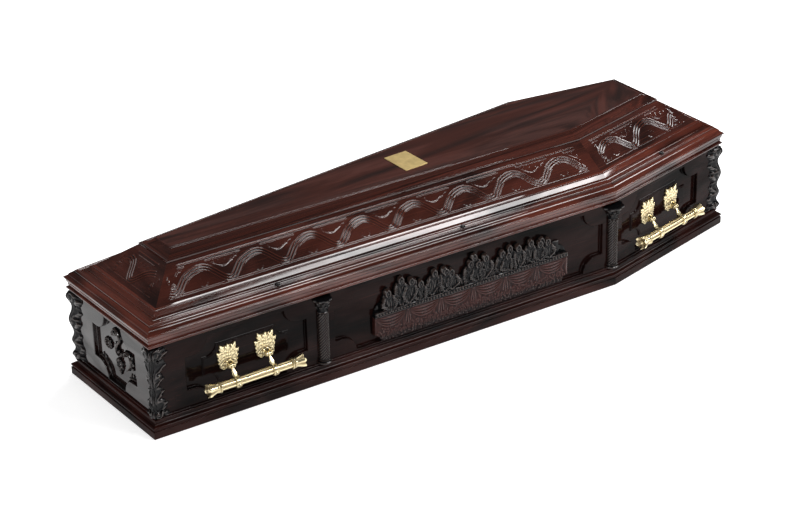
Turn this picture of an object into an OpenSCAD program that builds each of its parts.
// Carved wooden coffin: a six-sided shouldered box on a moulded plinth, with a hollow raised lid,
// twisted columns, carved corner brackets, a relief on each long side and four swing-bar handles.
// Millimetres. +X runs from the foot to the head, +Y is the left side, +Z is up.
// The origin is on the floor, under the middle of the outline.

/* [Outline] */
// Length of the plinth from the foot end to the widest line
foot_len = 1490; // [1200:10:1700]
// Length of the plinth from the widest line to the head end
head_len = 510; // [420:5:640]
// Width of the plinth at the foot end
foot_w = 438; // [380:2:520]
// Width of the plinth at the shoulder, its widest line
shoulder_w = 651; // [560:1:760]
// Width of the plinth at the head end
head_w = 452; // [400:2:540]

/* [Body] */
// Thickness of the wall boards
wall_t = 38; // [32:1:46]
// Height of the wall boards, floor to lid
wall_h = 264; // [250:1:310]
// Thickness of the floor board
floor_t = 18; // [12:1:30]
// How far the plinth stands out from the walls
plinth_out = 20; // [16:1:26]
// Height of the plinth moulding
plinth_h = 54; // [48:1:62]
// Height of the plinth's plain vertical face
plinth_face = 22; // [16:1:28]

/* [Panels] */
// Depth of the sunk panels in the walls
panel_depth = 12; // [8:1:24]
// Height of the panel's lower edge above the plinth
panel_foot_gap = 4; // [2:1:10]
// Plain wood left above a panel
panel_head_gap = 19; // [12:1:26]
// Radius of the scoop in each corner of a panel
scoop_r = 45; // [30:1:52]
// Length of the short shelf beside each scoop
scoop_shelf = 22; // [12:1:30]
// Width of the panels that hold a handle
handle_panel_w = 364; // [330:2:380]
// Distance from the foot corner to the first handle panel
foot_margin = 95; // [80:1:130]
// Width of the panel in the foot and head ends
end_panel_w = 220; // [190:2:250]
// Width of the raised block behind a handle
plaque_w = 258; // [230:2:290]
// Height of the raised block behind a handle
plaque_h = 114; // [100:1:130]
// How far that block rises from the floor of its panel
plaque_rise = 5; // [3:1:16]

/* [Columns] */
// Radius of the twisted shafts
shaft_r = 17; // [13:1:20]
// Radius of a pilaster's capital
capital_r = 31; // [24:1:34]
// Height of a capital
capital_h = 44; // [34:1:52]
// Height of a column base
base_h = 15; // [10:1:22]
// Number of strands twisted in a shaft
strands = 3; // [2:1:4]

/* [Brackets] */
// Width of a corner bracket on each face
bracket_w = 48; // [38:1:60]
// Greatest depth of a corner bracket
bracket_depth = 19; // [14:0.5:24]

/* [Lid] */
// Height of the moulded rim
rim_h = 76; // [70:1:84]
// Height of the carved slope above the rim
slope_h = 68; // [56:1:80]
// Width of the carved slope, seen from above
slope_run = 92; // [84:1:96]
// Thickness of the slope boards
slope_t = 14; // [10:1:18]
// Thickness of the top board
top_t = 20; // [16:1:26]
// Width of the bevel around the top board, seen from above
top_bevel = 35; // [28:1:38]
// Radius of the round caps on the rim
cap_r = 8; // [6:0.5:9]
// Length of the name plate, along the lid
plate_l = 76; // [60:1:90]
// Width of the name plate
plate_w = 104; // [80:1:120]
// Thickness of the name plate
plate_t = 1.5; // [1:0.5:3]

/* [Carving] */
// Length of one wave of the carved band
wave_len = 165; // [140:1:190]
// Height of the carved ridges and frame lines
carve_h = 3; // [2:0.5:5]

/* [Handles] */
// Length of a handle bar over its end caps
bar_len = 290; // [260:2:330]
// Radius of the bar
bar_r = 12; // [9:0.5:14]
// Distance between the two lugs of a handle
lug_pitch = 112; // [90:1:140]
// Width of a lug plate
lug_w = 66; // [54:1:76]
// Height of a lug plate
lug_h = 80; // [66:1:88]
// Distance of the pivot pins from the wall face
pivot_out = 13; // [11:0.5:16]
// Height of the pivot pins
pivot_z = 142; // [130:1:150]
// How far the bar hangs out from the pivot pins
bar_out = 27; // [24:0.5:32]
// How far the bar hangs below the pivot pins
bar_drop = 35; // [30:1:40]
// Radius of the pivot pins
pin_r = 3.5; // [2.5:0.5:4.5]

/* [Hidden] */
$fn = 48;

// Colours
mahogany = [0.20, 0.08, 0.05];
ebony = [0.07, 0.05, 0.045];
red_brown = [0.33, 0.11, 0.06];
brass = [0.88, 0.76, 0.50];

// The sides, numbered round the outline from the right-hand foot corner
SIDE = 0;
SHOULDER = 1;
HEAD = 2;
FOOT = 5;

clear = 0.3;                                  // running clearance at the hinges
over = 1;                                     // overshoot of a cutting shape
shoulder_x = (foot_len - head_len) / 2;
wall_d = -plinth_out;                         // offset of the wall faces from the plinth outline
inner_d = wall_d - wall_t;

// ---- The outline and its offsets ----

side_slope = (shoulder_w - foot_w) / 2 / foot_len;
shoulder_slope = (shoulder_w - head_w) / 2 / head_len;
side_stretch = sqrt(1 + side_slope ^ 2);
shoulder_stretch = sqrt(1 + shoulder_slope ^ 2);

// The right-hand corners, from foot to head, of the outline with every side moved out by d
function shoulder_shift(d) = d * (shoulder_stretch - side_stretch) / (side_slope + shoulder_slope);
function foot_half(d) = shoulder_w / 2 - side_slope * (foot_len + d) + d * side_stretch;
function head_half(d) = shoulder_w / 2 - shoulder_slope * (head_len + d) + d * shoulder_stretch;
function shoulder_half(d) = shoulder_w / 2 + side_slope * shoulder_shift(d) + d * side_stretch;
function right_corners(d) = [
    [shoulder_x - foot_len - d, -foot_half(d)],
    [shoulder_x + shoulder_shift(d), -shoulder_half(d)],
    [shoulder_x + head_len + d, -head_half(d)],
];
function flip(p) = [p.x, -p.y];
function outline(d) = let (c = right_corners(d)) [c[0], c[1], c[2], flip(c[2]), flip(c[1]), flip(c[0])];
function corner(i, d) = outline(d)[i % 6];
function along(i) = let (v = corner(i + 1, 0) - corner(i, 0)) v / norm(v);
function heading(i) = atan2(along(i).y, along(i).x);
function side_len(i, d) = norm(corner(i + 1, d) - corner(i, d));

// Points on an arc about c, from angle a to angle b, in n steps
function arc(c, r, a, b, n = 6) = [for (k = [0:n]) c + r * [cos(a + (b - a) * k / n), sin(a + (b - a) * k / n)]];

// Places flat drawings on the wall face of side i: X along it, Y up and Z outwards
module on_wall(i) {
    translate(corner(i, wall_d)) rotate([90, 0, heading(i)]) children();
}

// Places drawings on the carved slope of side i: X along it, Y up the slope and Z outwards
slope_angle = atan2(slope_h, slope_run);
slope_len = norm([slope_h, slope_run]);
slope_d = -69;                                // offset of the slope's lower edge
slope_z = wall_h + rim_h;
module on_slope(i) {
    translate([each corner(i, slope_d), slope_z]) rotate([slope_angle, 0, heading(i)]) children();
}

// Runs a profile of [offset, height] points along side i, mitred at both of its corners. The profile
// lies between the offsets inner and outer.
module mitred(i, profile, inner, outer) {
    reach = 60;
    start = corner(i + 1, 0) + reach * along(i);
    near = inner - over;
    far = outer + over;
    intersection() {
        translate(start) rotate([90, 0, heading(i) - 90])
            linear_extrude(side_len(i, 0) + 2 * reach) polygon(profile);
        translate([0, 0, -over]) linear_extrude(slope_z + slope_h + top_t)
            polygon([corner(i, near), corner(i, far), corner(i + 1, far), corner(i + 1, near)]);
    }
}

// The left-hand pieces mirror the right-hand ones
module left() {
    mirror([0, 1, 0]) children();
}

// ---- Boards ----

panel_z = plinth_h + panel_foot_gap;
panel_h = wall_h - panel_head_gap - panel_z;
panel_mid_z = panel_z + panel_h / 2;
plaque_scoop = 30;
plaque_shelf = 12;

// A rectangle, centred on X and standing on Y = 0, with a scoop and a shelf in each corner
module notched(w, h, r, shelf) {
    difference() {
        translate([-w / 2, 0]) square([w, h]);
        for (sx = [-1, 1], y = [0, h]) {
            translate([sx * (w / 2 - shelf), y]) circle(r);
            translate([sx * (w / 2 - shelf / 2 + over / 2), y]) square([shelf + over, 2 * r], center = true);
        }
    }
}

// The board of side i, mitred at its corners, with a sunk panel at each [centre, width] given
module wall_board(i, panels) {
    difference() {
        linear_extrude(wall_h)
            polygon([corner(i, inner_d), corner(i, wall_d), corner(i + 1, wall_d), corner(i + 1, inner_d)]);
        on_wall(i) for (p = panels)
            translate([p[0], panel_z, -panel_depth])
                linear_extrude(panel_depth + over) notched(p[1], panel_h, scoop_r, scoop_shelf);
    }
}

// The raised block in a handle's panel, which is carved from the same board
module plaque(i, at) {
    on_wall(i) translate([at, panel_mid_z - plaque_h / 2, -panel_depth])
        linear_extrude(plaque_rise) notched(plaque_w, plaque_h, plaque_scoop, plaque_shelf);
}

pilaster_gap = 47;                            // from the handle's panel to the middle of the pilaster
relief_left_gap = 38;                         // from there to the relief's panel
relief_right_gap = 33;                        // from the relief's panel to the shoulder corner
shoulder_pull = 20;                           // the head handle sits a little nearer the shoulder
handle_at = foot_margin + handle_panel_w / 2; // centre of the foot handle along the side
pilaster_at = handle_at + handle_panel_w / 2 + pilaster_gap;
relief_from = pilaster_at + relief_left_gap;
relief_to = side_len(SIDE, wall_d) - relief_right_gap;
relief_at = (relief_from + relief_to) / 2;
relief_panel_w = relief_to - relief_from;
shoulder_at = side_len(SHOULDER, wall_d) / 2 - shoulder_pull;

module floor_board() {
    color(mahogany) linear_extrude(floor_t) polygon(outline(inner_d));
}
module end_board(i) {
    color(mahogany) wall_board(i, [[side_len(i, wall_d) / 2, end_panel_w]]);
}
module side_board() {
    color(mahogany) union() {
        wall_board(SIDE, [[handle_at, handle_panel_w], [relief_at, relief_panel_w]]);
        plaque(SIDE, handle_at);
    }
}
module shoulder_board() {
    color(mahogany) union() {
        wall_board(SHOULDER, [[shoulder_at, handle_panel_w]]);
        plaque(SHOULDER, shoulder_at);
    }
}

// ---- Plinth ----

// A plain face, a round nose, a cove and a small bead under a top fillet
plinth_profile = let (f = plinth_face, h = plinth_h, d = plinth_out) concat(
    [[-d, 0], [0, 0], [0, f], [-2.5, f], [-2.5, f + 2]],
    arc([-5, f + 7], 5, -60, 75),
    arc([-4.5, f + 21], 9, -95, -180),
    arc([-13.5, h - 7], 3, -90, 90),
    [[-16, h - 4], [3 - d, h], [-d, h]]
);
module plinth(i) {
    color(red_brown) mitred(i, plinth_profile, wall_d, 0);
}

// ---- Columns ----

// The space taken by the walls, which flattens the back of a column
module wall_block() {
    linear_extrude(wall_h) polygon(outline(wall_d));
}

head_fillet = 12;                             // plain wood between a capital and the lid
shaft_z = plinth_h + base_h;
shaft_h = wall_h - head_fillet - capital_h - shaft_z;
strand_points = 5;
twist_turns = 1.6;

// The section of a shaft: as many round lobes as there are strands
function rope_section(r) = [for (k = [0:strands * strand_points - 1])
    let (a = 360 * k / (strands * strand_points), q = r * (0.86 + 0.14 * cos(a * strands))) q * [cos(a), sin(a)]];

// A column standing on the plinth: a moulded base, a twisted shaft and a bell capital
module column(head_r) {
    translate([0, 0, plinth_h]) {
        cylinder(h = base_h * 0.4, r = shaft_r + 3);
        translate([0, 0, base_h * 0.4]) cylinder(h = base_h * 0.6, r1 = shaft_r + 2, r2 = shaft_r - 1);
    }
    translate([0, 0, shaft_z])
        linear_extrude(shaft_h, twist = -360 * twist_turns, slices = 12) polygon(rope_section(shaft_r));
    translate([0, 0, shaft_z + shaft_h]) {
        cylinder(h = 4, r = shaft_r + 2);
        translate([0, 0, 4]) cylinder(h = capital_h - 10, r1 = shaft_r, r2 = head_r - 4);
        translate([0, 0, capital_h - 6]) cylinder(h = 6, r = head_r);
    }
}
module corner_column() {
    color(ebony) difference() {
        translate(corner(SHOULDER, wall_d)) column(capital_r + 6);
        wall_block();
    }
}
module pilaster() {
    color(ebony) difference() {
        translate(corner(SIDE, wall_d) + pilaster_at * along(SIDE)) column(capital_r);
        wall_block();
    }
}

// ---- Corner brackets ----

bracket_h = wall_h - plinth_h - 6;
// Depth of the bracket at a share s of its height: a foot scroll, a belly, a neck, a breast and a head scroll
function swell(s, at, w) = exp(-((s - at) / w) ^ 2);
function bracket_out(s) = bracket_depth * min(1, 0.34 + 0.52 * swell(s, 0.05, 0.06) + 0.42 * swell(s, 0.26, 0.08)
    + 0.56 * swell(s, 0.57, 0.13) + 0.66 * swell(s, 0.92, 0.09));
// Half-width of the leaf at a share s of its height, with scalloped edges
function leaf_w(s) = bracket_w * (0.74 + 0.18 * cos(360 * (s - 0.92)) + 0.08 * cos(360 * 5 * s));
bracket_steps = 40;

module bracket_wing(i, from_start) {
    profile = concat([[wall_d, plinth_h]],
        [for (k = [0:bracket_steps]) let (s = k / bracket_steps)
            [wall_d + bracket_out(s), plinth_h + bracket_h * s]],
        [[wall_d, plinth_h + bracket_h]]);
    leaf = concat([[-bracket_w, 0]],
        [for (k = [0:bracket_steps]) let (s = k / bracket_steps) [leaf_w(s), bracket_h * s]],
        [[-bracket_w, bracket_h]]);
    intersection() {
        mitred(i, profile, wall_d, wall_d + bracket_depth);
        on_wall(i) translate([from_start ? 0 : side_len(i, wall_d), plinth_h, 0]) mirror([from_start ? 0 : 1, 0, 0])
            linear_extrude(bracket_depth) polygon(leaf);
    }
}
module foot_bracket() {
    color(ebony) union() {
        bracket_wing(SIDE, true);
        bracket_wing(FOOT, false);
    }
}
module head_bracket() {
    color(ebony) union() {
        bracket_wing(SHOULDER, false);
        bracket_wing(HEAD, true);
    }
}

// ---- Relief and end ornaments ----

relief_w = relief_panel_w - 248;
relief_back = 8;                              // thickness of the ground behind the figures
cloth_h = 82;                                 // height of the draped parapet
relief_tall = panel_h - 32;
mourners = 10;
mourner_pitch = (relief_w - 60) / mourners;

// A robed mourner behind the parapet, in three layers: the robe, the folded arms and the hooded head
module mourner(tall, lean) {
    robe = tall - cloth_h + 6;
    translate([0, cloth_h - 6, relief_back - over]) {
        linear_extrude(9) polygon([[-25, 0], [25, 0], [20, robe - 26], [lean * 6 + 9, robe - 16],
            [lean * 6 - 9, robe - 16], [-20, robe - 26]]);
        linear_extrude(15) polygon([[-17, 0], [17, 0], [15 + lean * 3, robe - 32], [lean * 3 - 15, robe - 32]]);
        translate([lean * 8, robe - 13, 0]) {
            cylinder(h = 12, r = 12);
            translate([0, 0, 11]) sphere(8.5);
        }
    }
}

// A cloth hung over the parapet in swags, each one a pair of shallow half-discs
module swagged_cloth() {
    swags = 6;
    pitch = relief_w / swags;
    depth = relief_back + 9;
    translate([-relief_w / 2, 0, 0]) cube([relief_w, cloth_h, depth]);
    translate([-relief_w / 2, cloth_h - 4, 0]) cube([relief_w, 14, depth + 5]);
    for (k = [0:swags - 1], step = [1, 2])
        translate([(k + 0.5) * pitch - relief_w / 2, cloth_h - over, depth - over]) intersection() {
            cylinder(h = 1.5 * step + over, r = pitch * (0.54 - 0.12 * step));
            translate([-pitch / 2, -pitch / 2, 0]) cube([pitch, pitch / 2, 3 * step]);
        }
}
module relief() {
    color(ebony) on_wall(SIDE) translate([relief_at, panel_z, -panel_depth]) {
        linear_extrude(relief_back) notched(relief_w, relief_tall, plaque_scoop, plaque_shelf);
        swagged_cloth();
        for (k = [0:mourners - 1])
            translate([(k - (mourners - 1) / 2) * mourner_pitch, 0, 0])
                mourner(panel_h - 4 - 12 * abs(sin(k * 107)), sin(k * 151));
    }
}

// A leafy boss: a lozenge with four lobed arms
module ornament(i) {
    rise = 12;
    arm = 34;
    color(ebony) on_wall(i) translate([side_len(i, wall_d) / 2, panel_mid_z, -panel_depth]) {
        rotate(45) linear_extrude(rise) square(38, center = true);
        for (k = [0:3]) rotate(90 * k) {
            translate([arm, 0, 0]) cylinder(h = rise * 0.8, r = 17);
            for (s = [-1, 1]) translate([arm + 18, s * 13, 0]) cylinder(h = rise * 0.6, r = 12);
        }
    }
}

// ---- Lid ----

// The rim from its lower bead up to the slope: a bead, a hollow fascia, a nose, an ovolo, a torus,
// a cove and a bevel. Its underside rests on the walls, and its back slants up to the slope board.
rim_profile = let (z = wall_h, s = slope_d, t = slope_t) concat(
    [[inner_d, z], [-10, z]],
    arc([-10, z + 4.5], 4.5, -80, 70),
    [[-11, z + 10], [-11, z + 12]],
    arc([3, z + 16], 13, 190, 142),
    [[-5, z + 32]],
    arc([-5.5, z + 35], 3.5, -60, 80),
    [[-9, z + 39]],
    arc([-25, z + 38], 14, 30, 88),
    arc([-31, z + 53], 6, -20, 190),
    arc([-38, z + 64], 10, -85, -165),
    [[-51, z + 62], [-60, z + 72]],
    arc([-64, z + 72], 3, 0, 110),
    [[s, z + rim_h]],
    [[s - t * sin(slope_angle), z + rim_h - t * cos(slope_angle)]]
);
module rim(i) {
    color(red_brown) mitred(i, rim_profile, slope_d - slope_t, 0);
}

// A slope board, cut level where the top board rests on it
slope_back = slope_t / sin(slope_angle);      // its thickness, measured level
slope_profile = let (s = slope_d, z = slope_z, t = slope_t) [
    [s, z], [s - slope_run, z + slope_h], [s - slope_run - slope_back, z + slope_h],
    [s - t * sin(slope_angle), z - t * cos(slope_angle)],
];
frame_low = 14;                               // lower frame line of the carving, up the slope
frame_high = slope_len - 17;                  // upper frame line
frame_t = 3.5;                                // thickness of a frame line
carve_margin = 34;                            // plain wood beside each mitre
ridge_t = 5;                                  // thickness of the wave ridge
wave_mid = (frame_low + frame_high) / 2;
wave_amp = (frame_high - frame_low) / 2 - 11;
wave_steps = 12;                              // chords in one wave
side_first_crest = 152;                       // from the foot corner
shoulder_first_crest = 99;                    // from the shoulder corner

// How far the start and the end of side i move in along it, from the foot of the slope to its head
function taper(i) = [(corner(i, slope_d - slope_run) - corner(i, slope_d)) * along(i),
    (corner(i + 1, slope_d) - corner(i + 1, slope_d - slope_run)) * along(i)];

// The ends carry two short waves about their middle, and the other sides carry full waves
function is_end(i) = i == FOOT || i == HEAD;
function wave_of(i) = is_end(i) ? wave_len * 0.78 : wave_len;
function first_crest(i) = is_end(i) ? (side_len(i, slope_d) - wave_of(i)) / 2
    : i == SIDE ? side_first_crest : shoulder_first_crest;

// The carved field of side i: a trapezium that follows the mitres
module carved_field(i) {
    l = side_len(i, slope_d);
    top = frame_high + frame_t;
    function edge(y) = [carve_margin + taper(i)[0] * y / slope_len, l - carve_margin - taper(i)[1] * y / slope_len];
    polygon([[edge(frame_low)[0], frame_low], [edge(frame_low)[1], frame_low],
        [edge(top)[1], top], [edge(top)[0], top]]);
}
module carving(i) {
    l = side_len(i, slope_d);
    chord = wave_of(i) / wave_steps;
    first = first_crest(i) - ceil(first_crest(i) / chord) * chord;
    line = [for (k = [0:ceil((l - first) / chord)]) let (x = first + k * chord)
        [x, wave_mid + wave_amp * cos(360 * (x - first_crest(i)) / wave_of(i))]];
    on_slope(i) translate([0, 0, -over]) linear_extrude(carve_h + over) intersection() {
        carved_field(i);
        union() {
            translate([0, frame_low]) square([l, frame_t]);
            translate([0, frame_high]) square([l, frame_t]);
            polygon(concat([for (p = line) p + [0, ridge_t / 2]],
                [for (k = [len(line) - 1:-1:0]) line[k] - [0, ridge_t / 2]]));
        }
    }
}
module slope(i) {
    color(red_brown) union() {
        mitred(i, slope_profile, slope_d - slope_run - slope_back, slope_d);
        carving(i);
    }
}

// The top board: a flat hexagon with a wide bevel and a small upright nose
top_d = slope_d - slope_run;
top_z = slope_z + slope_h;
top_nose = 3;
module lid_top() {
    color(red_brown) difference() {
        translate([0, 0, top_z]) linear_extrude(top_t) polygon(outline(top_d + top_nose));
        for (i = [0:5]) translate(corner(i + 1, 0) + 100 * along(i)) rotate([90, 0, heading(i) - 90])
            linear_extrude(side_len(i, 0) + 200) polygon([
                [top_d + top_nose, top_z + top_nose], [top_d - top_bevel, top_z + top_t],
                [top_d - top_bevel, top_z + 2 * top_t], [top_d + 2 * top_bevel, top_z + 2 * top_t],
                [top_d + 2 * top_bevel, top_z + top_nose],
            ]);
    }
}
module name_plate() {
    plate_x = shoulder_x - 505;
    color(brass) translate([plate_x - plate_l / 2, -plate_w / 2, top_z + top_t]) cube([plate_l, plate_w, plate_t]);
}

// A round cap over a lid screw, standing on the rim's torus
cap_d = -31;
cap_z = wall_h + 59;
module rim_cap(i, share) {
    at = corner(i, cap_d) + share * side_len(i, cap_d) * along(i);
    color(ebony) translate([each at, cap_z]) {
        cylinder(h = 3, r = cap_r);
        translate([0, 0, 3]) cylinder(h = 3, r1 = cap_r, r2 = cap_r - 3);
    }
}

// ---- Handles ----

plaque_face = plaque_rise - panel_depth;
lug_t = 6;
arm_w = 9.4;
ear_t = 4;
eye_r = 7.5;
ring_r = bar_r + 3.5;
ring_w = 16;
lug_z = pivot_z - 16;

// The crown-shaped plate of a lug, from its foot at Y = 0
module lug_outline() {
    half = lug_w / 2;
    translate([0, lug_h - 16]) for (k = [-2:2]) translate([k * (half - 9) / 2, 0]) circle(9 + 7 * (k == 0 ? 1 : 0));
    translate([-half + 5, lug_h * 0.42]) square([lug_w - 10, lug_h * 0.42]);
    for (s = [-1, 1]) translate([s * (half - 13), 13]) circle(13);
    translate([-half + 13, 0]) square([lug_w - 26, lug_h * 0.5]);
}

// A fixed lug: its plate on the block, two ears and the pivot pin between them
module lug_at(i, at, k) {
    color(brass) on_wall(i) translate([at + k * lug_pitch / 2, 0, 0]) {
        translate([0, lug_z, plaque_face]) linear_extrude(lug_t) lug_outline();
        for (s = [-1, 1]) translate([s * (arm_w / 2 + clear + ear_t / 2), pivot_z, 0]) {
            rotate([0, 90, 0]) translate([-pivot_out, 0, -ear_t / 2]) cylinder(h = ear_t, r = eye_r);
            translate([-ear_t / 2, -eye_r, plaque_face + lug_t - over])
                cube([ear_t, 2 * eye_r, pivot_out - plaque_face - lug_t + over]);
        }
        translate([-arm_w / 2 - clear - over, pivot_z, pivot_out]) rotate([0, 90, 0])
            cylinder(h = arm_w + 2 * clear + 2 * over, r = pin_r);
    }
}

// An end cap of the bar: a collar, a neck and a flared bell
module end_cap() {
    rotate([0, 90, 0]) rotate_extrude() polygon(concat(
        [[0, 0], [bar_r + 3, 0], [bar_r + 3, 4], [bar_r + 1, 7], [bar_r + 2, 16]],
        arc([bar_r + 2, 24], 5, -60, 80, 5),
        [[bar_r - 2, 34], [0, 34]]
    ));
}

// The moving part of a handle: a bar with end caps, hung from two arms
module handle_at_wall(i, at) {
    reach = norm([bar_out, bar_drop]);
    fall = atan2(bar_drop, bar_out);
    half = bar_len / 2 - 34;
    color(brass) on_wall(i) translate([at, pivot_z, pivot_out]) difference() {
        union() {
            translate([0, -bar_drop, bar_out]) {
                translate([-half, 0, 0]) rotate([0, 90, 0]) cylinder(h = 2 * half, r = bar_r);
                translate([half, 0, 0]) end_cap();
                mirror([1, 0, 0]) translate([half, 0, 0]) end_cap();
            }
            for (s = [-1, 1]) translate([s * lug_pitch / 2, 0, 0]) {
                translate([-arm_w / 2, 0, 0]) rotate([0, 90, 0]) cylinder(h = arm_w, r = eye_r);
                rotate([fall, 0, 0]) translate([-arm_w / 2, -5, 0]) cube([arm_w, 10, reach]);
                translate([-ring_w / 2, -bar_drop, bar_out]) rotate([0, 90, 0]) cylinder(h = ring_w, r = ring_r);
            }
        }
        for (s = [-1, 1]) translate([s * lug_pitch / 2 - arm_w, 0, 0]) rotate([0, 90, 0])
            cylinder(h = 2 * arm_w, r = pin_r + clear);
    }
}

// ---- The nodes ----

floor_board();
end_board(FOOT);  // foot_board
end_board(HEAD);  // head_board
side_board();  // side_board_right
left() side_board();  // side_board_left
shoulder_board();  // shoulder_board_right
left() shoulder_board();  // shoulder_board_left
plinth(FOOT);  // plinth_foot
plinth(HEAD);  // plinth_head
plinth(SIDE);  // plinth_side_right
left() plinth(SIDE);  // plinth_side_left
plinth(SHOULDER);  // plinth_shoulder_right
left() plinth(SHOULDER);  // plinth_shoulder_left
corner_column();  // column_right
left() corner_column();  // column_left
pilaster();  // pilaster_right
left() pilaster();  // pilaster_left
foot_bracket();  // bracket_foot_right
left() foot_bracket();  // bracket_foot_left
head_bracket();  // bracket_head_right
left() head_bracket();  // bracket_head_left
relief();  // relief_right
left() relief();  // relief_left
ornament(FOOT);  // ornament_foot
ornament(HEAD);  // ornament_head
rim(FOOT);  // rim_foot
rim(HEAD);  // rim_head
rim(SIDE);  // rim_side_right
left() rim(SIDE);  // rim_side_left
rim(SHOULDER);  // rim_shoulder_right
left() rim(SHOULDER);  // rim_shoulder_left
slope(FOOT);  // slope_foot
slope(HEAD);  // slope_head
slope(SIDE);  // slope_side_right
left() slope(SIDE);  // slope_side_left
slope(SHOULDER);  // slope_shoulder_right
left() slope(SHOULDER);  // slope_shoulder_left
lid_top();
name_plate();
rim_cap(SIDE, 0.255);  // cap_foot_right
left() rim_cap(SIDE, 0.255);  // cap_foot_left
rim_cap(SIDE, 0.655);  // cap_mid_right
left() rim_cap(SIDE, 0.655);  // cap_mid_left
rim_cap(SHOULDER, 0.49);  // cap_head_right
left() rim_cap(SHOULDER, 0.49);  // cap_head_left
lug_at(SIDE, handle_at, -1);  // lug_1_foot_right
lug_at(SIDE, handle_at, 1);  // lug_2_foot_right
handle_at_wall(SIDE, handle_at);  // handle_foot_right
left() lug_at(SIDE, handle_at, -1);  // lug_1_foot_left
left() lug_at(SIDE, handle_at, 1);  // lug_2_foot_left
left() handle_at_wall(SIDE, handle_at);  // handle_foot_left
lug_at(SHOULDER, shoulder_at, -1);  // lug_1_head_right
lug_at(SHOULDER, shoulder_at, 1);  // lug_2_head_right
handle_at_wall(SHOULDER, shoulder_at);  // handle_head_right
left() lug_at(SHOULDER, shoulder_at, -1);  // lug_1_head_left
left() lug_at(SHOULDER, shoulder_at, 1);  // lug_2_head_left
left() handle_at_wall(SHOULDER, shoulder_at);  // handle_head_left
